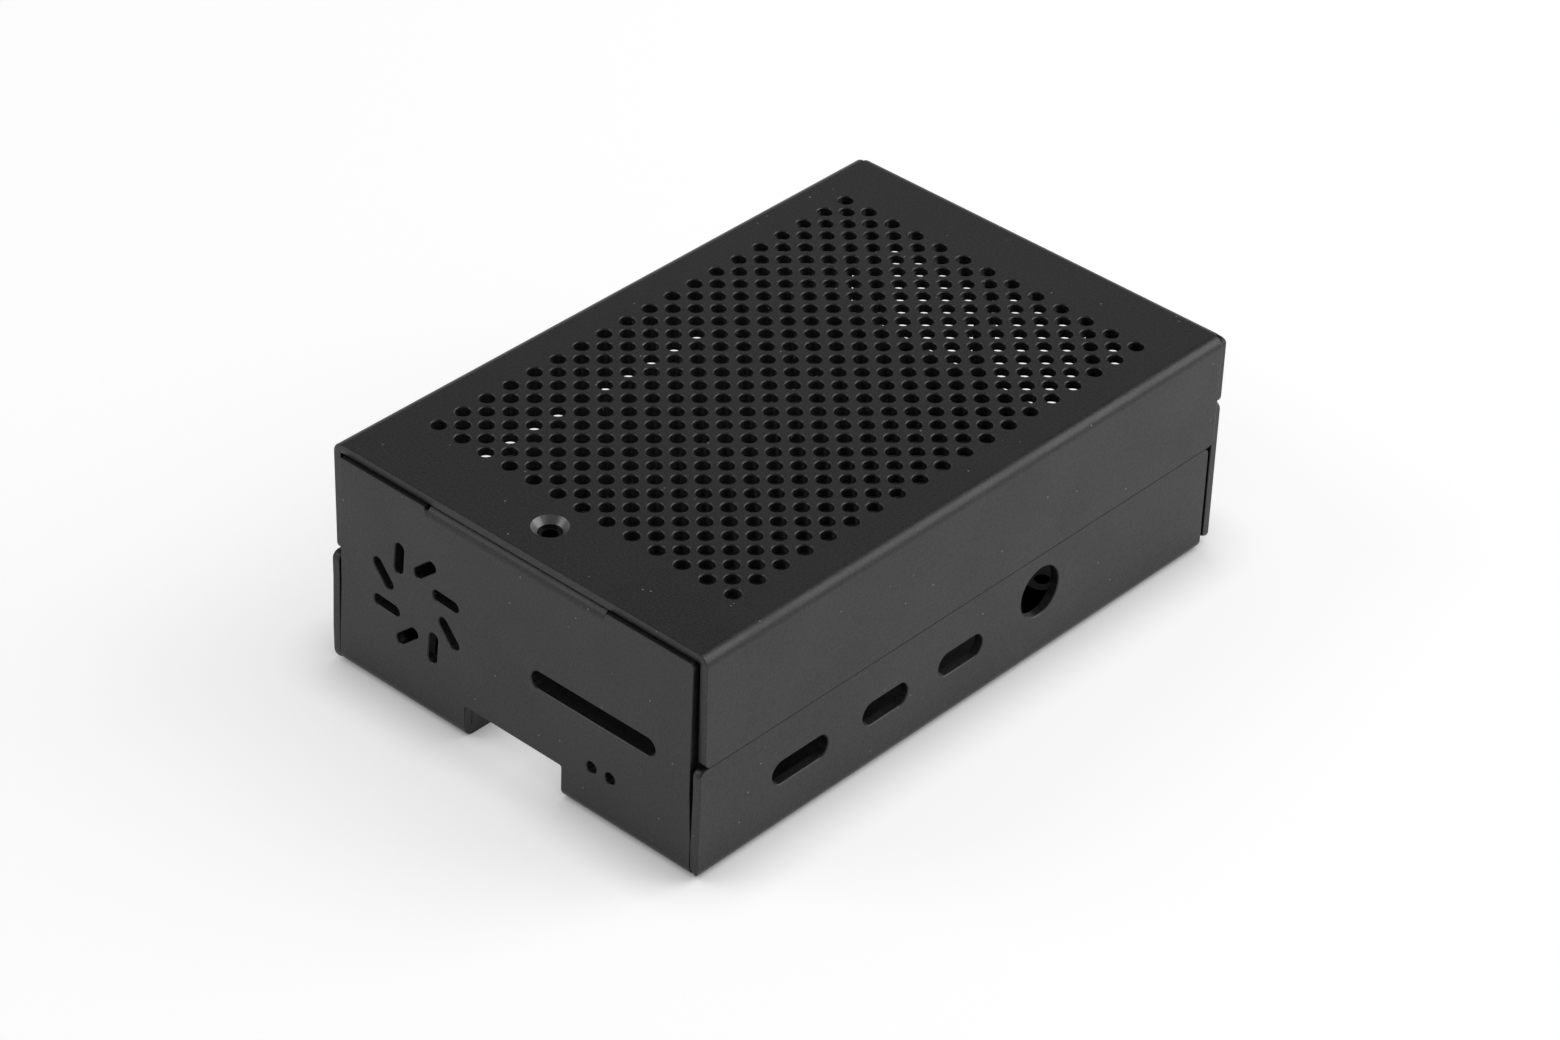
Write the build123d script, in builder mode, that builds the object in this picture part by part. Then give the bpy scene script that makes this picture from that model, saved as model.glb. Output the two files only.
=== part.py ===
from build123d import *
import os

# Case for a small computer board, made of two folded sheets: a tray and a perforated cover.
# All sizes are in mm. +X is the end with the socket windows, -X the end with the card notch,
# -Y the side with the power slot, +Y the side with the board's pin header, and +Z is up.
# The origin is the middle of the tray's underside.

# Sheet and its folds
sheet = 1.2
inside_bend_radius = 0.3
wall_corner_radius = 1.0
card_wall_corner_radius = 0.6

# Board that the case holds, and the room around it
board_length = 85.0
board_width = 56.0
board_thickness = 1.4
card_end_room = 4.9
socket_end_room = 2.1
slot_side_room = 0.9
header_side_room = 1.7

# Heights of the case, and of the seams between cover and tray
height = 31.5
socket_seam_height = 21.2
wall_above_audio_hole = 2.1

# Cover: long walls that stop short of the end walls, and an end wall above the sockets
cover_end_clearance = 0.1
cover_slit = 0.4
end_wall_setback = 0.3

# Tray: long walls between the end walls, with slits where they would meet in a corner
long_wall_setback = 0.3
long_wall_end_gap = 1.2
socket_corner_slit = 0.6
card_wall_side_gap = 0.4
card_corner_slit = 0.5
card_wall_drop = 0.8

# Tab folded from the card end wall, which carries the cover's screw
tab_width = 29.0
tab_relief_width = 0.8
tab_relief_depth = 0.5
tab_beyond_screw = 4.7
screw_from_end = 6.8
screw_hole_diameter = 3.0
countersink_diameter = 4.6
countersink_angle = 90

# Nut pressed into the tab from below
thread_bore_diameter = 2.05
nut_shank_diameter = 4.2
nut_body_diameter = 5.6
nut_body_height = 1.4
press_clearance = 0.02

# Perforation of the cover: a square grid with a hole in the middle of every cell
perforation_diameter = 2.0
perforation_pitch = 4.0
perforation_from_screw = 5.3
perforation_end_margin = 10.0
perforation_side_margin = 6.0

# Standoffs pressed into the floor, and the board's hole pattern
standoff_height = 4.0
standoff_diameter = 4.6
standoff_hexagon = 5.0
board_hole_inset = 3.5
board_hole_span_x = 58.0

# Openings in the tray's long wall, from the board's card end and from the board's top face
power_slot_x = 11.2
power_slot_length = 9.6
video_slots_x = (26.0, 39.5)
video_slot_length = 8.0
slot_width = 3.3
slot_rise = 1.6
audio_hole_x = 54.0
audio_hole_diameter = 7.0
audio_hole_rise = 3.5

# Windows of the socket end, from the board's slot side edge and from the board's top face
stacked_windows_y = (9.0, 27.0)
stacked_window_width = 15.5
stacked_window_height = 16.0
network_window_y = 45.75
network_window_width = 16.4
window_sill = 0.3

# Card end: card notch, ribbon slot and lamp holes, placed from the board
card_notch_width = 16.0
card_notch_length = 10.0
card_notch_drop = 0.5
ribbon_slot_y = 15.0
ribbon_slot_rise = 8.5
ribbon_slot_length = 20.0
ribbon_slot_width = 2.5
lamp_holes_y = 13.55
lamp_hole_rise = 0.6
lamp_hole_spacing = 3.0
lamp_hole_diameter = 1.6

# Card end: ring of slanted vents, placed from the header side's outer face and the underside
vent_ring_side_distance = 14.55
vent_ring_height = 15.5
vent_ring_radius = 5.8
vent_count = 8
vent_first_angle = 29.5
vent_slant = 33.5
vent_length = 4.4
vent_width = 1.5

# Ribbon notches in the cover's header side, from the board's card end
ribbon_notches_x = 36.8
ribbon_notch_length = 20.0
ribbon_notch_height = 3.0
ribbon_notch_radius = 1.0
ribbon_notch_bridge = 4.0

# Outer and inner faces of the case
bend_radius = inside_bend_radius + sheet
half_length = (board_length + card_end_room + socket_end_room) / 2 + sheet
half_width = (board_width + slot_side_room + header_side_room) / 2 + sheet
inside_half_length = half_length - sheet
inside_half_width = half_width - sheet
tab_top = height - sheet

# Ends of the folded walls
cover_reach = inside_half_length - cover_end_clearance
end_wall_half_width = half_width - end_wall_setback
long_wall_start = long_wall_setback - half_length
long_wall_end = inside_half_length - long_wall_end_gap
card_wall_half_width = inside_half_width - card_wall_side_gap
card_corner_x = bend_radius + card_corner_slit - half_length

# Board's corner nearest the card end and the slot side, its faces and its middle
board_x = card_end_room - inside_half_length
board_y = slot_side_room - inside_half_width
board_bottom = sheet + standoff_height
board_top = board_bottom + board_thickness
board_middle_y = board_y + board_width / 2
window_bottom = board_top + window_sill
audio_hole_z = board_top + audio_hole_rise
long_seam_height = audio_hole_z + audio_hole_diameter / 2 + wall_above_audio_hole

# Middle of the board's hole pattern
board_hole_span_y = board_width - 2 * board_hole_inset
hole_pattern_x = board_x + board_hole_inset + board_hole_span_x / 2
hole_pattern_plane = Plane(origin=(hole_pattern_x, board_middle_y, 0))

# Screw line, and the plane of the card end wall seen from outside
screw_x = screw_from_end - half_length
card_wall_plane = Plane(origin=(-half_length, 0, 0), x_dir=(0, -1, 0), z_dir=(-1, 0, 0))


def folded_section(plane, *corners):
    """Section of a folded sheet, through its outer corners, with the sheet on their left."""
    with BuildSketch(plane) as section:
        with BuildLine():
            FilletPolyline(*corners, radius=bend_radius)
            offset(amount=sheet, side=Side.LEFT)
        make_face()
    return section.sketch


def corner_slits(plane, start_x, end_x):
    """Strips across both long folds, which leave the flat sheet between the folds whole."""
    with BuildSketch(plane) as strips:
        with Locations(((start_x + end_x) / 2, 0)):
            Rectangle(end_x - start_x, 2 * half_width)
            Rectangle(end_x - start_x, 2 * (half_width - bend_radius), mode=Mode.SUBTRACT)
    return strips.sketch


def socket_windows():
    """Windows of the socket end, where the network window ends at the seam."""
    with BuildSketch(Plane.YZ.offset(half_length)) as windows:
        for window_y in stacked_windows_y:
            with Locations((board_y + window_y, window_bottom)):
                Rectangle(
                    stacked_window_width,
                    stacked_window_height,
                    align=(Align.CENTER, Align.MIN),
                )
        with Locations((board_y + network_window_y, window_bottom)):
            Rectangle(
                network_window_width,
                socket_seam_height - window_bottom,
                align=(Align.CENTER, Align.MIN),
            )
    return windows.sketch


# Top cover
with BuildPart() as top_cover:
    # End wall above the sockets
    cover_end_section = folded_section(
        Plane.XZ,
        (half_length, socket_seam_height),
        (half_length, height),
        (half_length - bend_radius - sheet, height),
    )
    extrude(cover_end_section, amount=end_wall_half_width, both=True)
    fillet(top_cover.edges().filter_by(Axis.X).group_by(Axis.Z)[0], wall_corner_radius)

    # Slits that part the end wall's fold from the long folds
    cover_slits = corner_slits(
        Plane.XY.offset(height),
        half_length - bend_radius - sheet,
        cover_reach + cover_slit,
    )
    extrude(cover_slits, amount=-bend_radius, mode=Mode.SUBTRACT)

    # Plate and long walls
    cover_section = folded_section(
        Plane.YZ,
        (half_width, long_seam_height),
        (half_width, height),
        (-half_width, height),
        (-half_width, long_seam_height),
    )
    extrude(cover_section, amount=cover_reach, both=True)
    fillet(top_cover.edges().filter_by(Axis.Y).group_by(Axis.Z)[0], wall_corner_radius)

    # Upper ends of the stacked-socket windows
    extrude(socket_windows(), amount=-sheet, mode=Mode.SUBTRACT)

    # Ribbon notches, open at the seam on the header side
    with BuildSketch(Plane.XZ.offset(-half_width)):
        with Locations((board_x + ribbon_notches_x, long_seam_height)):
            with GridLocations(ribbon_notch_length + ribbon_notch_bridge, 0, 2, 1):
                RectangleRounded(
                    ribbon_notch_length,
                    2 * ribbon_notch_height,
                    ribbon_notch_radius,
                )
    extrude(amount=sheet, mode=Mode.SUBTRACT)

    # Perforation: whole rows and columns, as many as the plate has room for
    first_column_x = screw_x + perforation_from_screw
    column_room = half_length - perforation_end_margin - first_column_x
    columns = 1 + int(column_room / perforation_pitch)
    rows = 1 + int(2 * (half_width - perforation_side_margin) / perforation_pitch)
    perforation_x = first_column_x + (columns - 1) * perforation_pitch / 2
    with Locations((perforation_x, 0, height)):
        with GridLocations(perforation_pitch, perforation_pitch, columns, rows):
            Hole(perforation_diameter / 2, depth=sheet)
        with GridLocations(perforation_pitch, perforation_pitch, columns - 1, rows - 1):
            Hole(perforation_diameter / 2, depth=sheet)

    # Countersunk hole for the screw
    with Locations((screw_x, 0, height)):
        CounterSinkHole(
            radius=screw_hole_diameter / 2,
            counter_sink_radius=countersink_diameter / 2,
            depth=sheet,
            counter_sink_angle=countersink_angle,
        )

# Base tray
with BuildPart() as base_tray:
    # Floor and long walls
    tray_section = folded_section(
        Plane.YZ.offset(long_wall_start),
        (-half_width, long_seam_height),
        (-half_width, 0),
        (half_width, 0),
        (half_width, long_seam_height),
    )
    extrude(tray_section, amount=long_wall_end - long_wall_start)
    fillet(base_tray.edges().filter_by(Axis.Y).group_by(Axis.Z)[-1], wall_corner_radius)

    # Floor cut back between the long walls, to behind the fold of the card end wall
    with BuildSketch(Plane.XY):
        with Locations((card_corner_x, 0)):
            Rectangle(2 * bend_radius, 2 * inside_half_width, align=(Align.MAX, Align.CENTER))
    extrude(amount=bend_radius, mode=Mode.SUBTRACT)

    # Card end wall
    card_wall_section = folded_section(
        Plane.XZ,
        (-half_length, height - card_wall_drop),
        (-half_length, 0),
        (card_corner_x, 0),
    )
    extrude(card_wall_section, amount=card_wall_half_width, both=True)
    fillet(base_tray.edges().filter_by(Axis.X).group_by(Axis.Z)[-1], card_wall_corner_radius)

    # Socket end wall, with slits that part its fold from the long folds
    socket_wall_section = folded_section(
        Plane.XZ,
        (long_wall_end, 0),
        (half_length, 0),
        (half_length, socket_seam_height),
    )
    extrude(socket_wall_section, amount=end_wall_half_width, both=True)
    socket_wall_corners = base_tray.edges().filter_by(Axis.X).filter_by_position(
        Axis.X, inside_half_length, half_length
    )
    fillet(socket_wall_corners.group_by(Axis.Z)[-1], wall_corner_radius)
    tray_slits = corner_slits(Plane.XY, long_wall_end, long_wall_end + socket_corner_slit)
    extrude(tray_slits, amount=bend_radius, mode=Mode.SUBTRACT)

    # Tab, folded inwards to lie under the cover, with a relief notch at each end of its fold
    relief_bottom = tab_top - bend_radius - tab_relief_depth
    with BuildSketch(card_wall_plane):
        with Locations((-board_middle_y, relief_bottom)):
            Rectangle(
                tab_width + 2 * tab_relief_width,
                height,
                align=(Align.CENTER, Align.MIN),
            )
    extrude(amount=-sheet, mode=Mode.SUBTRACT)
    tab_section = folded_section(
        Plane.XZ.offset(-board_middle_y),
        (screw_x + tab_beyond_screw, tab_top),
        (-half_length, tab_top),
        (-half_length, relief_bottom),
    )
    extrude(tab_section, amount=tab_width / 2, both=True)

    # Seat of the nut in the tab
    with Locations((screw_x, 0, tab_top)):
        Hole(nut_shank_diameter / 2 + press_clearance, depth=sheet)

    # Ring of slanted vents, ribbon slot and lamp holes in the card end wall
    with BuildSketch(card_wall_plane):
        with Locations((vent_ring_side_distance - half_width, vent_ring_height)):
            with PolarLocations(vent_ring_radius, vent_count, start_angle=vent_first_angle):
                SlotOverall(vent_length, vent_width, rotation=-vent_slant)
        with Locations((-board_y - ribbon_slot_y, board_top + ribbon_slot_rise)):
            SlotOverall(ribbon_slot_length, ribbon_slot_width)
        with Locations((-board_y - lamp_holes_y, board_top + lamp_hole_rise)):
            with GridLocations(lamp_hole_spacing, 0, 2, 1):
                Circle(lamp_hole_diameter / 2)
    extrude(amount=-sheet, mode=Mode.SUBTRACT)

    # Card notch through the card end wall, its fold and the floor
    with BuildSketch(Plane.XY):
        with Locations((-half_length, board_middle_y)):
            Rectangle(card_notch_length, card_notch_width, align=(Align.MIN, Align.CENTER))
    extrude(amount=board_bottom - card_notch_drop, mode=Mode.SUBTRACT)

    # Power slot, video slots and audio hole in the long wall
    with BuildSketch(Plane.XZ.offset(half_width)):
        with Locations((board_x + power_slot_x, board_top + slot_rise)):
            SlotOverall(power_slot_length, slot_width)
        for video_slot_x in video_slots_x:
            with Locations((board_x + video_slot_x, board_top + slot_rise)):
                SlotOverall(video_slot_length, slot_width)
        with Locations((board_x + audio_hole_x, audio_hole_z)):
            Circle(audio_hole_diameter / 2)
    extrude(amount=-sheet, mode=Mode.SUBTRACT)

    # Windows of the socket end
    extrude(socket_windows(), amount=-sheet, mode=Mode.SUBTRACT)

    # Hexagonal seats of the standoffs in the floor
    with BuildSketch(hole_pattern_plane):
        with GridLocations(board_hole_span_x, board_hole_span_y, 2, 2):
            RegularPolygon(standoff_hexagon / 2, 6, major_radius=False)
    extrude(amount=sheet, mode=Mode.SUBTRACT)

# Standoffs: a hexagon flush with the floor's underside, a barrel above it and a bore through both
with BuildPart() as board_standoffs:
    with BuildSketch(hole_pattern_plane):
        with GridLocations(board_hole_span_x, board_hole_span_y, 2, 2):
            RegularPolygon(standoff_hexagon / 2, 6, major_radius=False)
    extrude(amount=sheet)
    with BuildSketch(hole_pattern_plane.offset(sheet)):
        with GridLocations(board_hole_span_x, board_hole_span_y, 2, 2):
            Circle(standoff_diameter / 2)
    extrude(amount=standoff_height)
    with BuildSketch(hole_pattern_plane):
        with GridLocations(board_hole_span_x, board_hole_span_y, 2, 2):
            Circle(thread_bore_diameter / 2)
    extrude(amount=board_bottom, mode=Mode.SUBTRACT)

# Nut: a shank through the tab, a wider body under it and a bore through both
with BuildPart() as cover_nut:
    with BuildSketch(Plane.XY.offset(tab_top - sheet)):
        with Locations((screw_x, 0)):
            Circle(nut_shank_diameter / 2)
    extrude(amount=sheet)
    with BuildSketch(Plane.XY.offset(tab_top - sheet)):
        with Locations((screw_x, 0)):
            Circle(nut_body_diameter / 2)
    extrude(amount=-nut_body_height)
    with Locations((screw_x, 0, tab_top)):
        Hole(thread_bore_diameter / 2, depth=sheet + nut_body_height)

top_cover.part.label = "top_cover"
base_tray.part.label = "base_tray"
board_standoffs.part.label = "board_standoffs"
cover_nut.part.label = "cover_nut"

os.makedirs("parts", exist_ok=True)
export_step(top_cover.part, "parts/top_cover.step")
export_step(base_tray.part, "parts/base_tray.step")
export_step(board_standoffs.part, "parts/board_standoffs.step")
export_step(cover_nut.part, "parts/cover_nut.step")
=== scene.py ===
"""Looks of a folded sheet metal case for a small computer board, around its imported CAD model.

Both shells are made as sheet metal is made: an outline is cut flat, its edges are softened, its
holes are punched, and then it is folded. Sizes are in millimetres until a mesh is finished.
"""

import logging
import math
from abc import ABC, abstractmethod
from dataclasses import dataclass
from enum import Enum

import bmesh
import bpy
from mathutils import Matrix, Vector


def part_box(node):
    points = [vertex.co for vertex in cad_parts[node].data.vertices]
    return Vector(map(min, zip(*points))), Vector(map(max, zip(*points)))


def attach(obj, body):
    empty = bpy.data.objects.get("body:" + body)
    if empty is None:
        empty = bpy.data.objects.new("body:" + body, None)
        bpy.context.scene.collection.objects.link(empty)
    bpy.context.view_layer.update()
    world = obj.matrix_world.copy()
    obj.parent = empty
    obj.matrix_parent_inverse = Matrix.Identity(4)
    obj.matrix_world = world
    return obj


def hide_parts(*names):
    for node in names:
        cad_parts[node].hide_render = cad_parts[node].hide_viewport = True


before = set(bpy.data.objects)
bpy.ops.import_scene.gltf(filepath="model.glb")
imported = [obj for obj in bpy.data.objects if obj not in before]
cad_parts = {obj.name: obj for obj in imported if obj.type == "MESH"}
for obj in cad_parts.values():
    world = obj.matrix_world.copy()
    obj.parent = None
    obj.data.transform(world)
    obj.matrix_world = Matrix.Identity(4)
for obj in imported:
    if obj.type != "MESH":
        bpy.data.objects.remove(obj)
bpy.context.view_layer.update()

MM = 0.001
QUARTER = math.pi / 2
FULL_TURN = 360
ROUND_PROFILE = 0.5
KEEP_MATERIAL = -1
LEVEL_TOLERANCE = 1e-6
REACH_TOLERANCE = 1e-4
CUT_TOLERANCE = 1e-5
log = logging.getLogger("case")


class Across(Enum):
    """The axis that a fold's wall runs out along, by its number."""

    X = 0
    Y = 1


class Slot(Enum):
    """The record's material slots that the new pieces take."""

    COATING = "black_coating"


class Body(Enum):
    """The CAD bodies that the pieces ride on."""

    TRAY = "tray"
    COVER = "cover"


@dataclass(frozen=True)
class CaseSizes:
    """Sizes that both shells share, in millimetres. The outer ones are read from the frame."""

    half_length: float
    half_width: float
    height: float
    long_seam: float
    cover_reach: float
    sheet: float = 1.2
    bend_radius: float = 1.5
    bend_steps: int = 14
    socket_seam: float = 21.2
    end_wall_setback: float = 0.4
    ear_share: float = 0.55
    end_gap: float = 0.2
    stacked_windows: tuple[tuple[float, float], ...] = ((-27.15, -11.65), (-9.15, 6.35))
    stacked_window_top: float = 22.9
    window_bottom: float = 6.9
    screw_x: float = -40.4
    past_edge: float = 1.0

    @classmethod
    def from_frame(cls) -> "CaseSizes":
        """Read the outer sizes from the boxes of the two CAD shells.

        Returns:
            The sizes, in millimetres.
        """
        cover_low, cover_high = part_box("top_cover")
        tray_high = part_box("base_tray")[1]
        return cls(
            half_length=tray_high.x / MM,
            half_width=tray_high.y / MM,
            height=cover_high.z / MM,
            long_seam=cover_low.z / MM,
            cover_reach=-cover_low.x / MM,
        )

    @property
    def arc(self) -> float:
        """Length of a fold's outer face."""
        return self.bend_radius * QUARTER

    @property
    def end_fold(self) -> float:
        """Distance from the middle at which an end wall's fold starts."""
        return self.half_length - self.bend_radius

    @property
    def side_fold(self) -> float:
        """Distance from the middle at which a long wall's fold starts."""
        return self.half_width - self.bend_radius

    @property
    def ear(self) -> float:
        """Distance along the flat sheet at which an end wall's ears begin, on its fold."""
        return self.end_fold + self.ear_share * self.arc

    @property
    def end_half_width(self) -> float:
        """Half of the width of an end wall over the sockets."""
        return self.half_width - self.end_wall_setback

    def end_flat(self, rise: float) -> float:
        """Turn a rise on an end wall into a distance along the flat sheet.

        Args:
            rise: How far the point lies off the flat face.

        Returns:
            Its distance from the middle of the flat sheet.
        """
        return self.end_fold + self.arc + rise - self.bend_radius

    def side_flat(self, rise: float) -> float:
        """Turn a rise on a long wall into a distance along the flat sheet.

        Args:
            rise: How far the point lies off the flat face.

        Returns:
            Its distance from the middle of the flat sheet.
        """
        return self.side_fold + self.arc + rise - self.bend_radius


@dataclass(frozen=True)
class Corner:
    """A corner of a sheet's flat outline, rounded where its radius isn't zero."""

    x: float
    y: float
    radius: float = 0.0

    def mirrored(self) -> "Corner":
        """Mirror the corner.

        Returns:
            The same corner on the other side of the sheet.
        """
        return Corner(self.x, -self.y, self.radius)


@dataclass(frozen=True)
class Fold:
    """A wall folded off the flat face, by one or more square bends.

    A strip, where there is one, is the span of the sheet that the bends after the first cross.
    A lean is what the first bend turns past square, which the next one makes up for.
    """

    across: Across
    start: float
    bends: tuple[float, ...] = (0.0,)
    strip: tuple[float, ...] = ()
    lean: float = 0.0

    def line(self, run: float) -> float:
        """Find a line across the fold.

        Args:
            run: How far the line lies past the fold's start.

        Returns:
            Its place on the flat sheet.
        """
        return self.start + math.copysign(run, self.start)

    def share(self, point: Vector) -> float:
        """Find how much of the later bends a point takes, which fades at the strip's ends.

        Args:
            point: Its place on the flat sheet.

        Returns:
            1 within the strip's inner lines, and 0 past its outer ones.
        """
        if not self.strip:
            return 1.0
        low, *_, high = self.strip
        fade = self.strip[len(self.strip) // 2 - 1] - low
        place = point[1 - self.across.value]
        return min(1.0, max(0.0, min(place - low, high - place) / fade))

    def place(self, point: Vector, sizes: CaseSizes) -> Vector:
        """Carry a point of the flat sheet through the bends.

        Args:
            point: Its place on the flat sheet, with its depth below the outer face as z.
            sizes: The case's sizes.

        Returns:
            Its place on the folded sheet, with its rise off the outer face as z.
        """
        side = math.copysign(1.0, self.start)
        run = side * (point[self.across.value] - self.start)
        spot, heading, gone = 0j, 1 + 0j, 0.0
        for bend in self.bends:
            if run <= bend:
                break
            full = QUARTER - self.lean if bend else QUARTER + self.lean
            share = self.share(point) if bend else 1.0
            turn = min((run - bend) / sizes.bend_radius, full) * share
            spot += heading * (bend - gone)
            gone = bend + turn * sizes.bend_radius
            spot += heading * sizes.bend_radius * complex(math.sin(turn), 1 - math.cos(turn))
            heading *= complex(math.cos(turn), math.sin(turn))
        spot += heading * (run - gone) + heading * 1j * point.z
        placed = point.copy()
        placed[self.across.value] = self.start + side * spot.real
        placed.z = spot.imag
        return placed


@dataclass(frozen=True)
class Punch:
    """Equal holes punched through the flat sheet: circles, or circles drawn out along x and y."""

    places: tuple[tuple[float, float], ...]
    radius: float
    reach_x: float = 0.0
    reach_y: float = 0.0
    angle: float = 0.0
    segments: int = 32
    rim: float = 0.12
    sink_radius: float = 0.0
    past: float = 0.2

    @classmethod
    def window(
        cls, low: tuple[float, float], high: tuple[float, float], radius: float = 0.2
    ) -> "Punch":
        """Make the punch of a rectangular window.

        Args:
            low: The window's lowest x and y on the flat sheet.
            high: Its highest x and y.
            radius: The radius of its corners.

        Returns:
            The punch.
        """
        return cls(
            places=(((low[0] + high[0]) / 2, (low[1] + high[1]) / 2),),
            radius=radius,
            reach_x=(high[0] - low[0]) / 2 - radius,
            reach_y=(high[1] - low[1]) / 2 - radius,
        )

    def levels(self, sheet: float) -> list[tuple[float, float]]:
        """List the punch's depths below the outer face and its radius there.

        Args:
            sheet: Thickness of the sheet.

        Returns:
            Pairs of depth and radius, which run past both faces.
        """
        mouth, depth = self.radius + self.rim, self.rim
        if self.sink_radius:
            mouth, depth = self.sink_radius, self.sink_radius - self.radius
        slope = self.past if depth else 0.0
        return [
            (-self.past, mouth + slope),
            *([(depth, self.radius)] if depth else []),
            (sheet + self.past, self.radius),
        ]

    def cutter(self, sheet: float) -> bpy.types.Mesh:
        """Make the solid that one hole takes out of the sheet, centred on the origin.

        Args:
            sheet: Thickness of the sheet.

        Returns:
            A closed mesh.
        """
        bm = bmesh.new()
        (depth, radius), *rest = self.levels(sheet)
        half_step = Matrix.Rotation(math.pi / self.segments, 4, "Z")
        bmesh.ops.create_circle(
            bm, cap_ends=True, segments=self.segments, radius=radius, matrix=half_step
        )
        bmesh.ops.translate(bm, verts=bm.verts, vec=(0, 0, depth))
        bm.faces.ensure_lookup_table()
        end, inside = bm.faces[0], False
        for next_depth, next_radius in rest:
            grown = bmesh.ops.extrude_face_region(bm, geom=[end])["geom"]
            if inside:
                bmesh.ops.delete(bm, geom=[end], context="FACES_ONLY")
            end = next(part for part in grown if isinstance(part, bmesh.types.BMFace))
            inside = True
            share = next_radius / radius
            bmesh.ops.translate(bm, verts=end.verts, vec=(0, 0, next_depth - depth))
            bmesh.ops.scale(bm, verts=end.verts, vec=(share, share, 1))
            depth, radius = next_depth, next_radius
        for vert in bm.verts:
            vert.co.x += math.copysign(self.reach_x, vert.co.x)
            vert.co.y += math.copysign(self.reach_y, vert.co.y)
        turned = Matrix.Rotation(self.angle, 4, "Z")
        bmesh.ops.transform(bm, matrix=turned, verts=bm.verts)
        bmesh.ops.recalc_face_normals(bm, faces=bm.faces)
        mesh = bpy.data.meshes.new("cutter")
        bm.to_mesh(mesh)
        bm.free()
        return mesh

    def add_to(self, bm: bmesh.types.BMesh, sheet: float) -> None:
        """Add the cutters of all the holes to a mesh.

        Args:
            bm: The mesh that collects the cutters.
            sheet: Thickness of the sheet.
        """
        mesh = self.cutter(sheet)
        for x, y in self.places:
            mesh.transform(Matrix.Translation((x, y, 0)))
            bm.from_mesh(mesh)
            mesh.transform(Matrix.Translation((-x, -y, 0)))
        bpy.data.meshes.remove(mesh)


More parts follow.
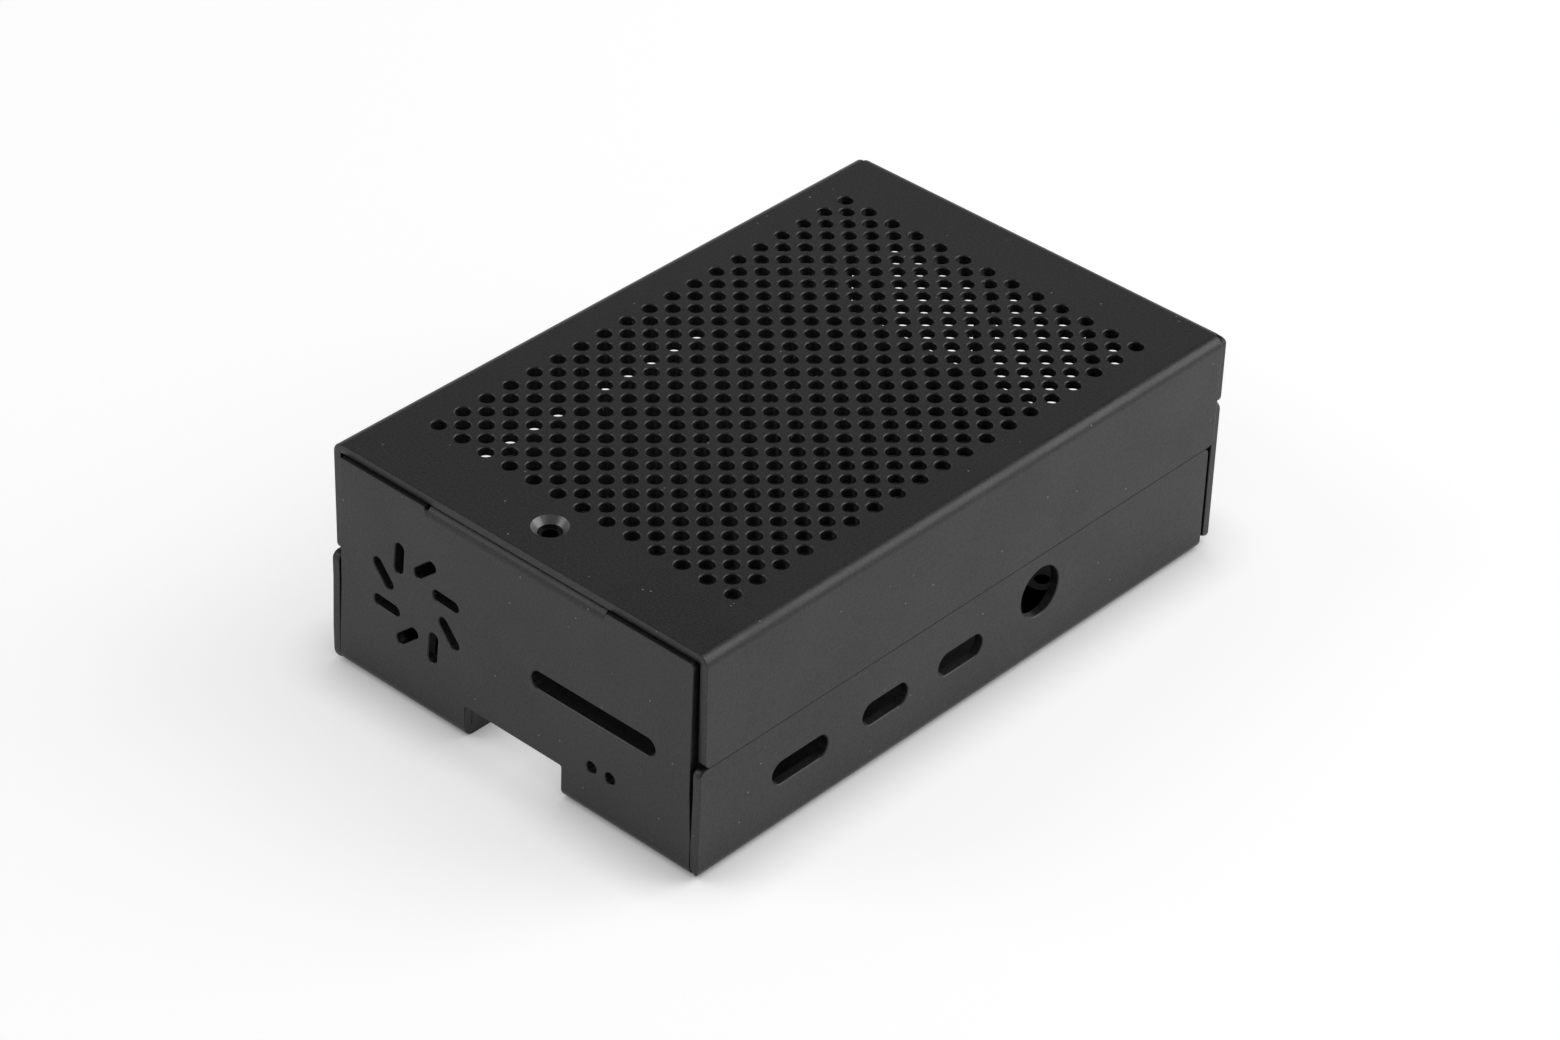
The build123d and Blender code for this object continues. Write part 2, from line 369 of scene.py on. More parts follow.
@dataclass(frozen=True)
class FoldedShell(ABC):
    """A shell of the case, cut flat, punched and folded."""

    sizes: CaseSizes
    edge_softening: float = 0.12
    edge_steps: int = 2
    corner_steps: int = 8
    crease_angle: float = math.radians(40)

    @abstractmethod
    def outline(self) -> list[Corner]:
        """List the corners of the flat sheet.

        Returns:
            The corners, in order.
        """

    @abstractmethod
    def punches(self) -> list[Punch]:
        """List the holes of the flat sheet.

        Returns:
            One punch for each kind of hole.
        """

    @abstractmethod
    def folds(self) -> list[Fold]:
        """List the folds of the shell.

        Returns:
            The folds.
        """

    @abstractmethod
    def fold_at(self, x: float, y: float) -> Fold | None:
        """Choose the fold that carries a point of the flat sheet.

        Args:
            x: The point's place along the case.
            y: Its place across the case.

        Returns:
            The fold, or None where the sheet stays flat.
        """

    @abstractmethod
    def settle(self, point: Vector) -> Vector:
        """Put a point of the folded sheet in its place in the case.

        Args:
            point: Its place on the folded sheet, in millimetres.

        Returns:
            Its place in the case, in millimetres.
        """

    def blank(self) -> bmesh.types.BMesh:
        """Cut the flat sheet and soften its edges.

        Returns:
            The flat sheet, with its outer face at z = 0.
        """
        bm = bmesh.new()
        corners = self.outline()
        verts = [bm.verts.new((corner.x, corner.y, 0)) for corner in corners]
        bm.faces.new(verts)
        for radius in sorted({corner.radius for corner in corners if corner.radius}):
            rounded = [vert for vert, corner in zip(verts, corners) if corner.radius == radius]
            bmesh.ops.bevel(
                bm, geom=rounded, affect="VERTICES", offset=radius, offset_type="OFFSET",
                segments=self.corner_steps, profile=ROUND_PROFILE, material=KEEP_MATERIAL,
            )
        grown = bmesh.ops.extrude_face_region(bm, geom=bm.faces[:])["geom"]
        top = [part for part in grown if isinstance(part, bmesh.types.BMVert)]
        bmesh.ops.translate(bm, verts=top, vec=(0, 0, self.sizes.sheet))
        rims = [
            edge
            for edge in bm.edges
            if abs(edge.verts[0].co.z - edge.verts[1].co.z) < LEVEL_TOLERANCE
        ]
        bmesh.ops.bevel(
            bm, geom=rims, affect="EDGES", offset=self.edge_softening, offset_type="OFFSET",
            segments=self.edge_steps, profile=ROUND_PROFILE, material=KEEP_MATERIAL,
        )
        return bm

    def divide(self, bm: bmesh.types.BMesh) -> None:
        """Cut the flat sheet across each bend, so that it can be folded round.

        Args:
            bm: The flat sheet.
        """
        for fold in self.folds():
            across = fold.across.value
            for bend in fold.bends:
                strip = fold.strip if bend else ()
                self.cut(bm, self.beyond(bm, fold, 0.0), across, fold.line(bend))
                for line in strip:
                    self.cut(bm, self.beyond(bm, fold, bend), 1 - across, line)
                for step in range(1, self.sizes.bend_steps + 1):
                    run = bend + self.sizes.arc * step / self.sizes.bend_steps
                    self.cut(bm, self.beyond(bm, fold, bend, strip), across, fold.line(run))

    def beyond(
        self, bm: bmesh.types.BMesh, fold: Fold, run: float, strip: tuple[float, ...] = ()
    ) -> list[bmesh.types.BMFace]:
        """List the faces of the flat sheet that reach past a line across a fold.

        Args:
            bm: The flat sheet.
            fold: The fold.
            run: How far the line lies past the fold's start.
            strip: Lines that bound the faces at the sides, if any do.

        Returns:
            The faces.
        """
        across = fold.across.value
        side = math.copysign(1.0, fold.start)
        faces = []
        for face in bm.faces:
            reach = max(side * vert.co[across] for vert in face.verts)
            aside = face.calc_center_median()[1 - across]
            inside = not strip or strip[0] < aside < strip[-1]
            if inside and reach > side * fold.line(run) + REACH_TOLERANCE:
                faces.append(face)
        return faces

    def cut(
        self, bm: bmesh.types.BMesh, faces: list[bmesh.types.BMFace], across: int, place: float
    ) -> None:
        """Cut faces of the flat sheet along a straight line.

        Args:
            bm: The flat sheet.
            faces: The faces to cut.
            across: The axis that the line lies across, by its number.
            place: Where the line lies on that axis.
        """
        normal = Vector((0, 0, 0))
        normal[across] = 1
        edges = dict.fromkeys(edge for face in faces for edge in face.edges)
        verts = dict.fromkeys(vert for face in faces for vert in face.verts)
        bmesh.ops.bisect_plane(
            bm, geom=[*verts, *edges, *faces], dist=CUT_TOLERANCE,
            plane_co=normal * place, plane_no=normal,
        )

    def punched(self, blank: bpy.types.Mesh) -> bpy.types.Mesh:
        """Punch the holes through the flat sheet.

        Args:
            blank: The flat sheet, which is used up.

        Returns:
            The sheet with its holes.
        """
        bm = bmesh.new()
        for punch in self.punches():
            punch.add_to(bm, self.sizes.sheet)
        cutters = bpy.data.meshes.new("cutters")
        bm.to_mesh(cutters)
        bm.free()
        tool = bpy.data.objects.new("cutters", cutters)
        piece = bpy.data.objects.new("blank", blank)
        for made in (tool, piece):
            bpy.context.scene.collection.objects.link(made)
        cut = piece.modifiers.new("punch", "BOOLEAN")
        cut.operation, cut.solver, cut.object = "DIFFERENCE", "EXACT", tool
        view = bpy.context.evaluated_depsgraph_get()
        mesh = bpy.data.meshes.new_from_object(piece.evaluated_get(view))
        for made in (tool, piece):
            bpy.data.objects.remove(made)
        for used in (cutters, blank):
            bpy.data.meshes.remove(used)
        return mesh

    def folded(self, bm: bmesh.types.BMesh) -> None:
        """Fold the punched sheet and put it in its place, in metres.

        Args:
            bm: The flat, punched sheet.
        """
        for vert in bm.verts:
            fold = self.fold_at(vert.co.x, vert.co.y)
            point = fold.place(vert.co, self.sizes) if fold else vert.co
            vert.co = self.settle(point) * MM
        bmesh.ops.recalc_face_normals(bm, faces=bm.faces)
        for face in bm.faces:
            face.smooth = True
        for edge in bm.edges:
            edge.smooth = edge.calc_face_angle(0.0) < self.crease_angle

    def build(self, name: str) -> bpy.types.Object:
        """Make the finished shell.

        Args:
            name: The piece's name.

        Returns:
            The piece, in the frame, in metres.
        """
        bm = self.blank()
        self.divide(bm)
        blank = bpy.data.meshes.new("blank")
        bm.to_mesh(blank)
        bm.free()
        mesh = self.punched(blank)
        bm = bmesh.new()
        bm.from_mesh(mesh)
        self.folded(bm)
        bm.to_mesh(mesh)
        bm.free()
        mesh.name = name
        piece = bpy.data.objects.new(name, mesh)
        bpy.context.scene.collection.objects.link(piece)
        shading = piece.modifiers.new("flat faces", "WEIGHTED_NORMAL")
        shading.keep_sharp = True
        return piece


@dataclass(frozen=True)
class TopCover(FoldedShell):
    """The perforated cover with its two long walls and the short wall above the sockets."""

    card_reach: float = 46.1
    corner_radius: float = 1.0
    hole_radius: float = 1.0
    hole_segments: int = 24
    pitch: float = 4.0
    columns: int = 19
    rows: int = 13
    grid_middle: float = 0.9
    screw_hole_radius: float = 1.5
    screw_hole_segments: int = 48
    sink_radius: float = 2.3
    cone_slopes: tuple[float, float] = (0.2, 0.9)
    ribbon_notches: tuple[tuple[float, float], ...] = ((-26.3, -6.3), (-2.3, 17.7))
    ribbon_notch_height: float = 3.0
    ribbon_notch_radius: float = 1.0

    def outline(self) -> list[Corner]:
        """List the corners of the flat sheet.

        Returns:
            The corners, in order.
        """
        size = self.sizes
        wall = size.side_flat(size.height - size.long_seam)
        end = size.end_flat(size.height - size.socket_seam)
        half = [
            Corner(-self.card_reach, wall, self.corner_radius),
            Corner(size.cover_reach, wall, self.corner_radius),
            Corner(size.cover_reach, size.side_fold),
            Corner(size.ear, size.side_fold),
            Corner(size.ear, size.end_half_width, self.corner_radius),
            Corner(end, size.end_half_width, self.corner_radius),
        ]
        return half + [corner.mirrored() for corner in reversed(half)]

    def grid(self, columns: int, rows: int) -> tuple[tuple[float, float], ...]:
        """List the places of a square grid of holes about the middle of the perforation.

        Args:
            columns: Holes along x.
            rows: Holes along y.

        Returns:
            The places.
        """
        return tuple(
            (
                self.grid_middle + (column - (columns - 1) / 2) * self.pitch,
                (row - (rows - 1) / 2) * self.pitch,
            )
            for column in range(columns)
            for row in range(rows)
        )

    def punches(self) -> list[Punch]:
        """List the holes of the flat sheet.

        Returns:
            The perforation, the screw hole, the ends of the windows and the ribbon notches.
        """
        size = self.sizes
        holes = self.grid(self.columns, self.rows) + self.grid(self.columns - 1, self.rows - 1)
        window = size.end_flat(size.height - size.stacked_window_top)
        notch = size.side_flat(size.height - size.long_seam)
        return [
            Punch(places=holes, radius=self.hole_radius, segments=self.hole_segments),
            Punch(
                places=((size.screw_x, 0.0),),
                radius=self.screw_hole_radius,
                sink_radius=self.sink_radius,
                segments=self.screw_hole_segments,
            ),
            *(
                Punch.window((window, low), (window + size.sheet + size.past_edge, high))
                for low, high in size.stacked_windows
            ),
            *(
                Punch.window(
                    (low, notch - self.ribbon_notch_height),
                    (high, notch + self.ribbon_notch_height),
                    self.ribbon_notch_radius,
                )
                for low, high in self.ribbon_notches
            ),
        ]

    def folds(self) -> list[Fold]:
        """List the folds of the cover.

        Returns:
            The folds of the long walls and of the end wall.
        """
        size = self.sizes
        return [
            Fold(Across.Y, size.side_fold),
            Fold(Across.Y, -size.side_fold),
            Fold(Across.X, size.end_fold),
        ]

    def fold_at(self, x: float, y: float) -> Fold | None:
        """Choose the fold that carries a point of the flat sheet.

        Args:
            x: The point's place along the case.
            y: Its place across the case.

        Returns:
            The fold, or None on the plate.
        """
        size = self.sizes
        left, right, end = self.folds()
        if x > size.cover_reach + size.end_gap or abs(y) <= size.side_fold:
            return end if x > size.end_fold else None
        return left if y > 0 else right

    def settle(self, point: Vector) -> Vector:
        """Turn the folded sheet over, so that its plate lies at the case's full height.

        Args:
            point: A point's place on the folded sheet.

        Returns:
            Its place in the case.
        """
        return Vector((point.x, point.y, self.sizes.height - point.z))

    def dress(
        self, piece: bpy.types.Object, coating: bpy.types.Material, worn: bpy.types.Material
    ) -> None:
        """Finish the cover and put it on its body.

        Args:
            piece: The cover.
            coating: The material of its sheet.
            worn: The material of the countersink, which the lost screw has rubbed.
        """
        piece.data.materials.append(coating)
        piece.data.materials.append(worn)
        screw = Vector((self.sizes.screw_x, 0.0)) * MM
        steep, shallow = self.cone_slopes
        for face in piece.data.polygons:
            sunk = steep < face.normal.z < shallow
            near = (face.center.xy - screw).length < self.sink_radius * MM
            face.material_index = int(sunk and near)
        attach(piece, Body.COVER.value)
        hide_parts("top_cover")


@dataclass(frozen=True)
class BaseTray(FoldedShell):
    """The tray with its long walls, its card end with the folded tab, and its socket end."""

    wall_corner_radius: float = 1.0
    card_corner_radius: float = 0.6
    long_wall: tuple[float, float] = (-46.9, 45.0)
    long_wall_foot: float = -47.15
    long_wall_foot_radius: float = 1.6
    card_lean: float = math.radians(1.0)
    card_wall_top: float = 30.2
    card_half_width: float = 28.9
    card_foot_half_width: float = 29.24
    card_foot_rise: float = 5.0
    card_taper_rise: float = 12.0
    card_slit: float = 0.06
    card_slit_share: float = 0.25
    card_corner: float = -45.2
    tab_middle: float = -0.4
    tab_half_width: float = 14.5
    tab_relief: float = 0.3
    tab_relief_depth: float = 0.4
    tab_relief_shares: tuple[float, ...] = (0.0, 0.5, 1.0)
    tab_end: float = -35.7
    nut_seat_radius: float = 2.12
    standoffs: tuple[tuple[float, float], ...] = (
        (-37.6, -24.9), (20.4, -24.9), (-37.6, 24.1), (20.4, 24.1),
    )
    standoff_seat_radius: float = 2.9
    standoff_seat_sides: int = 6
    slots_rise: float = 8.2
    slot_radius: float = 1.65
    power_slot: tuple[float, float] = (-29.9, 9.6)
    video_slots: tuple[tuple[float, float], ...] = ((-15.1, 8.0), (-1.6, 8.0))
    audio_hole: tuple[float, float] = (12.9, 10.1)
    audio_radius: float = 3.5
    audio_segments: int = 56
    network_window: tuple[float, float] = (9.15, 25.55)
    ribbon_slot: tuple[float, float] = (-13.4, 15.1)
    ribbon_slot_size: tuple[float, float] = (20.0, 2.5)
    lamp_holes: tuple[tuple[float, float], ...] = ((-13.35, 7.2), (-16.35, 7.2))
    lamp_radius: float = 0.8
    vent_middle: tuple[float, float] = (15.95, 15.5)
    vent_ring_radius: float = 5.8
    vent_count: int = 8
    vent_first_angle: float = 29.5
    vent_slant: float = 33.5
    vent_size: tuple[float, float] = (4.4, 1.5)
    card_notch: tuple[float, float] = (-8.4, 7.6)
    card_notch_end: float = -37.2
    card_notch_top: float = 4.7

    @property
    def tab_bend(self) -> float:
        """Run along the card end wall at which the tab's bend begins."""
        size = self.sizes
        return size.arc + size.height - size.sheet - 2 * size.bend_radius

    def tab_flat(self, x: float) -> float:
        """Turn a place on the tab into a place along the flat sheet.

        Args:
            x: Where the point lies along the case.

        Returns:
            Where it lies along the flat sheet.
        """
        size = self.sizes
        leaned = (self.tab_bend - size.arc) * math.sin(self.card_lean)
        return leaned - 2 * size.end_fold - self.tab_bend - size.arc - x

    def outline(self) -> list[Corner]:
        """List the corners of the flat sheet.

        Returns:
            The corners, in order.
        """
        size = self.sizes
        wall, end = size.side_flat(size.long_seam), size.end_flat(size.socket_seam)
        card = -size.end_flat(self.card_wall_top)
        low, high = self.long_wall
        foot = self.card_foot_half_width
        half = [
            Corner(card, self.card_half_width, self.card_corner_radius),
            Corner(-size.end_flat(self.card_taper_rise), self.card_half_width),
            Corner(-size.end_flat(self.card_foot_rise), foot),
            Corner(self.card_corner, foot),
            Corner(self.card_corner, foot + self.card_slit),
            Corner(self.long_wall_foot, foot + self.card_slit, self.long_wall_foot_radius),
            Corner(self.long_wall_foot, size.side_flat(self.card_foot_rise)),
            Corner(low, size.side_flat(self.card_taper_rise)),
            Corner(low, wall, self.wall_corner_radius),
            Corner(high, wall, self.wall_corner_radius),
            Corner(high, size.side_fold),
            Corner(size.ear, size.side_fold),
            Corner(size.ear, size.end_half_width, self.wall_corner_radius),
            Corner(end, size.end_half_width, self.wall_corner_radius),
        ]
        relief = card + self.tab_relief_depth
        tab_end = self.tab_flat(self.tab_end)
        left, right = self.tab_middle - self.tab_half_width, self.tab_middle + self.tab_half_width
        tab = [
            Corner(card, left - self.tab_relief),
            Corner(relief, left - self.tab_relief),
            Corner(relief, left),
            Corner(tab_end, left),
            Corner(tab_end, right),
            Corner(relief, right),
            Corner(relief, right + self.tab_relief),
            Corner(card, right + self.tab_relief),
        ]
        return half + [corner.mirrored() for corner in reversed(half)] + tab

    def slots(self) -> list[Punch]:
        """List the openings of the long wall with the slots.

        Returns:
            The power slot, the video slots and the audio hole.
        """
        size = self.sizes
        row = -size.side_flat(self.slots_rise)
        slots = [
            Punch(((x, row),), self.slot_radius, reach_x=length / 2 - self.slot_radius)
            for x, length in (self.power_slot, *self.video_slots)
        ]
        x, rise = self.audio_hole
        audio = Punch(
            ((x, -size.side_flat(rise)),), self.audio_radius, segments=self.audio_segments
        )
        return [*slots, audio]

    def vents(self) -> list[Punch]:
        """List the slanted vents of the card end wall.

        Returns:
            One punch for each vent.
        """
        length, width = self.vent_size
        y, rise = self.vent_middle
        vents = []
        for number in range(self.vent_count):
            angle = math.radians(self.vent_first_angle + FULL_TURN * number / self.vent_count)
            at = rise + self.vent_ring_radius * math.sin(angle)
            place = (-self.sizes.end_flat(at), y - self.vent_ring_radius * math.cos(angle))
            turn = QUARTER - angle + math.radians(self.vent_slant)
            vents.append(Punch((place,), width / 2, reach_x=(length - width) / 2, angle=turn))
        return vents

    def card_end(self) -> list[Punch]:
        """List the other openings of the card end wall.

        Returns:
            The ribbon slot, the lamp holes, the card notch and the nut's seat.
        """
        size = self.sizes
        length, width = self.ribbon_slot_size
        y, rise = self.ribbon_slot
        seat = self.tab_flat(size.screw_x)
        low, high = self.card_notch
        return [
            Punch(((-size.end_flat(rise), y),), width / 2, reach_y=(length - width) / 2),
            Punch(
                tuple((-size.end_flat(at), y) for y, at in self.lamp_holes), self.lamp_radius
            ),
            Punch.window(
                (-size.end_flat(self.card_notch_top), low), (self.card_notch_end, high)
            ),
            Punch(((seat, 0.0),), self.nut_seat_radius, rim=0.0),
        ]

    def punches(self) -> list[Punch]:
        """List the holes of the flat sheet.

        Returns:
            Every opening of the tray.
        """
        size = self.sizes
        bottom = size.end_flat(size.window_bottom)
        past = size.end_flat(size.socket_seam) + size.past_edge
        windows = [
            Punch.window((bottom, low), (past, high))
            for low, high in (*size.stacked_windows, self.network_window)
        ]
        seats = Punch(
            self.standoffs, self.standoff_seat_radius, segments=self.standoff_seat_sides, rim=0.0
        )
        return [*self.slots(), *self.vents(), *self.card_end(), *windows, seats]

    def folds(self) -> list[Fold]:
        """List the folds of the tray.

        Returns:
            The folds of the long walls, of the socket end, and of the card end with its tab.
        """
        size = self.sizes
        edges = sorted(
            self.tab_middle + side * (self.tab_half_width + share * self.tab_relief)
            for side in (-1, 1)
            for share in self.tab_relief_shares
        )
        return [
            Fold(Across.Y, size.side_fold),
            Fold(Across.Y, -size.side_fold),
            Fold(Across.X, size.end_fold),
            Fold(Across.X, -size.end_fold, (0.0, self.tab_bend), tuple(edges), self.card_lean),
        ]

    def fold_at(self, x: float, y: float) -> Fold | None:
        """Choose the fold that carries a point of the flat sheet.

        Args:
            x: The point's place along the case.
            y: Its place across the case.

        Returns:
            The fold, or None on the floor.
        """
        size = self.sizes
        left, right, socket_end, card_end = self.folds()
        in_slit = self.card_foot_half_width + self.card_slit_share * self.card_slit
        if abs(y) < in_slit and x < -size.end_fold:
            return card_end
        if x > self.long_wall[1] + size.end_gap or abs(y) <= size.side_fold:
            return socket_end if x > size.end_fold else None
        return left if y > 0 else right

    def settle(self, point: Vector) -> Vector:
        """Leave the folded sheet on its floor.

        Args:
            point: A point's place on the folded sheet.

        Returns:
            The same place.
        """
        return point

    def dress(self, piece: bpy.types.Object, coating: bpy.types.Material) -> None:
        """Finish the tray and put it on its body.

        Args:
            piece: The tray.
            coating: The material of its sheet.
        """
        piece.data.materials.append(coating)
        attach(piece, Body.TRAY.value)
        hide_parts("base_tray")


@dataclass(frozen=True)
class ShaderGraph:
    """The nodes of a material or of the world, with short ways to add and join them."""

    owner: bpy.types.Material | bpy.types.World

    @classmethod
    def named(cls, name: str) -> "ShaderGraph":
        """Start a material that holds a principled shader and its output.

        Args:
            name: The material's name.

        Returns:
            Its nodes.
        """
        material = bpy.data.materials.new(name)
        material.use_nodes = True
        return cls(material)

    @property
    def shader(self) -> bpy.types.ShaderNode:
        """The principled shader."""
        return self.owner.node_tree.nodes["Principled BSDF"]

    def add(self, kind: str, **values: object) -> bpy.types.ShaderNode:
        """Add a node.

        Args:
            kind: The node's type.
            values: Values of its properties, or of its inputs where it has no such property.

        Returns:
            The node.
        """
        node = self.owner.node_tree.nodes.new(kind)
        for key, value in values.items():
            if hasattr(node, key):
                setattr(node, key, value)
            else:
                node.inputs[key.replace("_", " ").title()].default_value = value
        return node

    def join(self, source: bpy.types.NodeSocket, target: bpy.types.NodeSocket) -> None:
        """Join an output to an input.

        Args:
            source: The output.
            target: The input.
        """
        self.owner.node_tree.links.new(source, target)

    def worked_out(
        self, operation: str, first: bpy.types.NodeSocket, second: bpy.types.NodeSocket | float
    ) -> bpy.types.NodeSocket:
        """Work out a value from two others.

        Args:
            operation: The sum to do, as a math node names it.
            first: The first value.
            second: The second value, as a socket or as a plain number.

        Returns:
            The result.
        """
        node = self.add("ShaderNodeMath", operation=operation)
        self.join(first, node.inputs[0])
        if isinstance(second, bpy.types.NodeSocket):
            self.join(second, node.inputs[1])
        else:
            node.inputs[1].default_value = second
        return node.outputs["Value"]

    def mapped(
        self,
        source: bpy.types.NodeSocket,
        span: tuple[float, float] = (0.0, 1.0),
        onto: tuple[float, float] = (0.0, 1.0),
    ) -> bpy.types.NodeSocket:
        """Map a value from one span onto another.

        Args:
            source: The value.
            span: The span that it is taken from.
            onto: The span that it is carried onto.

        Returns:
            The mapped value, which stays within its span.
        """
        (from_min, from_max), (to_min, to_max) = span, onto
        node = self.add(
            "ShaderNodeMapRange", from_min=from_min, from_max=from_max, to_min=to_min, to_max=to_max
        )
        self.join(source, node.inputs["Value"])
        return node.outputs["Result"]


@dataclass(frozen=True)
class TexturedCoating:
    """The matte black coating, with its fine texture and sparse pale specks."""

    name: str = "black_coating"
    colour: tuple[float, float, float] = (0.005, 0.005, 0.0052)
    grain_colour: tuple[float, float, float] = (0.02, 0.02, 0.0204)
    speck_colour: tuple[float, float, float] = (0.2, 0.2, 0.2)
    specular: float = 0.42
    roughness: tuple[float, float] = (0.36, 0.44)
    grain_size: float = 0.3 * MM
    grain_detail: float = 3.0
    grain_span: tuple[float, float] = (0.35, 0.65)
    grain_height: float = 0.02 * MM
    patch_size: float = 9 * MM
    patch_detail: float = 4.0
    patch_span: tuple[float, float] = (0.3, 0.7)
    speck_spacing: float = 2.6 * MM
    speck_share: float = 0.045

    def material(self) -> bpy.types.Material:
        """Make the coating's material.

        Returns:
            The material.
        """
        graph = ShaderGraph.named(self.name)
        graph.shader.inputs["Specular IOR Level"].default_value = self.specular
        place = graph.add("ShaderNodeTexCoord").outputs["Object"]
        grain = graph.add(
            "ShaderNodeTexNoise", scale=1 / self.grain_size, detail=self.grain_detail
        )
        patches = graph.add(
            "ShaderNodeTexNoise", scale=1 / self.patch_size, detail=self.patch_detail
        )
        specks = graph.add("ShaderNodeTexVoronoi", scale=1 / self.speck_spacing)
        for texture in (grain, patches, specks):
            graph.join(place, texture.inputs["Vector"])
        rough = graph.mapped(patches.outputs["Fac"], self.patch_span, self.roughness)
        graph.join(rough, graph.shader.inputs["Roughness"])
        tone = graph.add("ShaderNodeMix", data_type="RGBA")
        tone.inputs["A"].default_value = (*self.colour, 1)
        tone.inputs["B"].default_value = (*self.grain_colour, 1)
        graph.join(graph.mapped(grain.outputs["Fac"], self.grain_span), tone.inputs["Factor"])
        spot = graph.worked_out("LESS_THAN", specks.outputs["Distance"], self.speck_share)
        speckled = graph.add("ShaderNodeMix", data_type="RGBA")
        speckled.inputs["B"].default_value = (*self.speck_colour, 1)
        graph.join(spot, speckled.inputs["Factor"])
        graph.join(tone.outputs["Result"], speckled.inputs["A"])
        graph.join(speckled.outputs["Result"], graph.shader.inputs["Base Color"])
        bump = graph.add("ShaderNodeBump", strength=1.0, distance=self.grain_height)
        graph.join(grain.outputs["Fac"], bump.inputs["Height"])
        graph.join(bump.outputs["Normal"], graph.shader.inputs["Normal"])
        return graph.owner


@dataclass(frozen=True)
class PlatedSteel:
    """The satin plated steel of the standoffs and the nut, its colour kept dark as painted shade
    for the holes that look into the case.
    """

    name: str = "plated_steel_dark_as_painted_shade"
    # painted shade: both colours are dark so that the nut and the standoffs, seen through the
    # holes, look like the shaded inside of the case
    colour: tuple[float, float, float] = (0.07, 0.07, 0.07)
    dull_colour: tuple[float, float, float] = (0.045, 0.045, 0.045)
    roughness: tuple[float, float] = (0.28, 0.42)
    mottle_size: float = 1.5 * MM
    mottle_detail: float = 3.0
    line_size: float = 0.12 * MM
    line_detail: float = 2.0
    line_stretch: tuple[float, float, float] = (0.15, 0.15, 1.0)

    def material(self) -> bpy.types.Material:
        """Make the plating's material.

        Returns:
            The material.
        """
        graph = ShaderGraph.named(self.name)
        graph.shader.inputs["Metallic"].default_value = 1.0
        place = graph.add("ShaderNodeTexCoord").outputs["Object"]
        stretch = graph.add("ShaderNodeMapping")
        stretch.inputs["Scale"].default_value = self.line_stretch
        graph.join(place, stretch.inputs["Vector"])
        lines = graph.add("ShaderNodeTexNoise", scale=1 / self.line_size, detail=self.line_detail)
        graph.join(stretch.outputs["Vector"], lines.inputs["Vector"])
        mottle = graph.add(
            "ShaderNodeTexNoise", scale=1 / self.mottle_size, detail=self.mottle_detail
        )
        graph.join(place, mottle.inputs["Vector"])
        rough = graph.mapped(lines.outputs["Fac"], onto=self.roughness)
        graph.join(rough, graph.shader.inputs["Roughness"])
        tone = graph.add("ShaderNodeMix", data_type="RGBA")
        tone.inputs["A"].default_value = (*self.dull_colour, 1)
        tone.inputs["B"].default_value = (*self.colour, 1)
        graph.join(mottle.outputs["Fac"], tone.inputs["Factor"])
        graph.join(tone.outputs["Result"], graph.shader.inputs["Base Color"])
        return graph.owner

    def dress(self, *names: str) -> None:
        """Give CAD nodes the plating.

        Args:
            names: The nodes' names.
        """
        material = self.material()
        for name in names:
            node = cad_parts[name]
            for holder in node.material_slots:
                holder.material = material
            report(node)


@dataclass(frozen=True)
class Softbox:
    """A soft studio lamp that faces the case."""

    name: str
    direction: tuple[float, float, float]
    distance: float
    size: float
    power: float

    def build(self, target: Vector) -> None:
        """Hang the lamp and turn it to the case.

        Args:
            target: The point that it faces.
        """
        lamp = bpy.data.lights.new(self.name, "AREA")
        lamp.shape, lamp.size, lamp.energy = "SQUARE", self.size, self.power
        holder = bpy.data.objects.new(self.name, lamp)
        bpy.context.scene.collection.objects.link(holder)
        way = Vector(self.direction).normalized()
        holder.location = target + way * self.distance
        holder.rotation_mode = "QUATERNION"
        holder.rotation_quaternion = way.to_track_quat("Z", "Y")


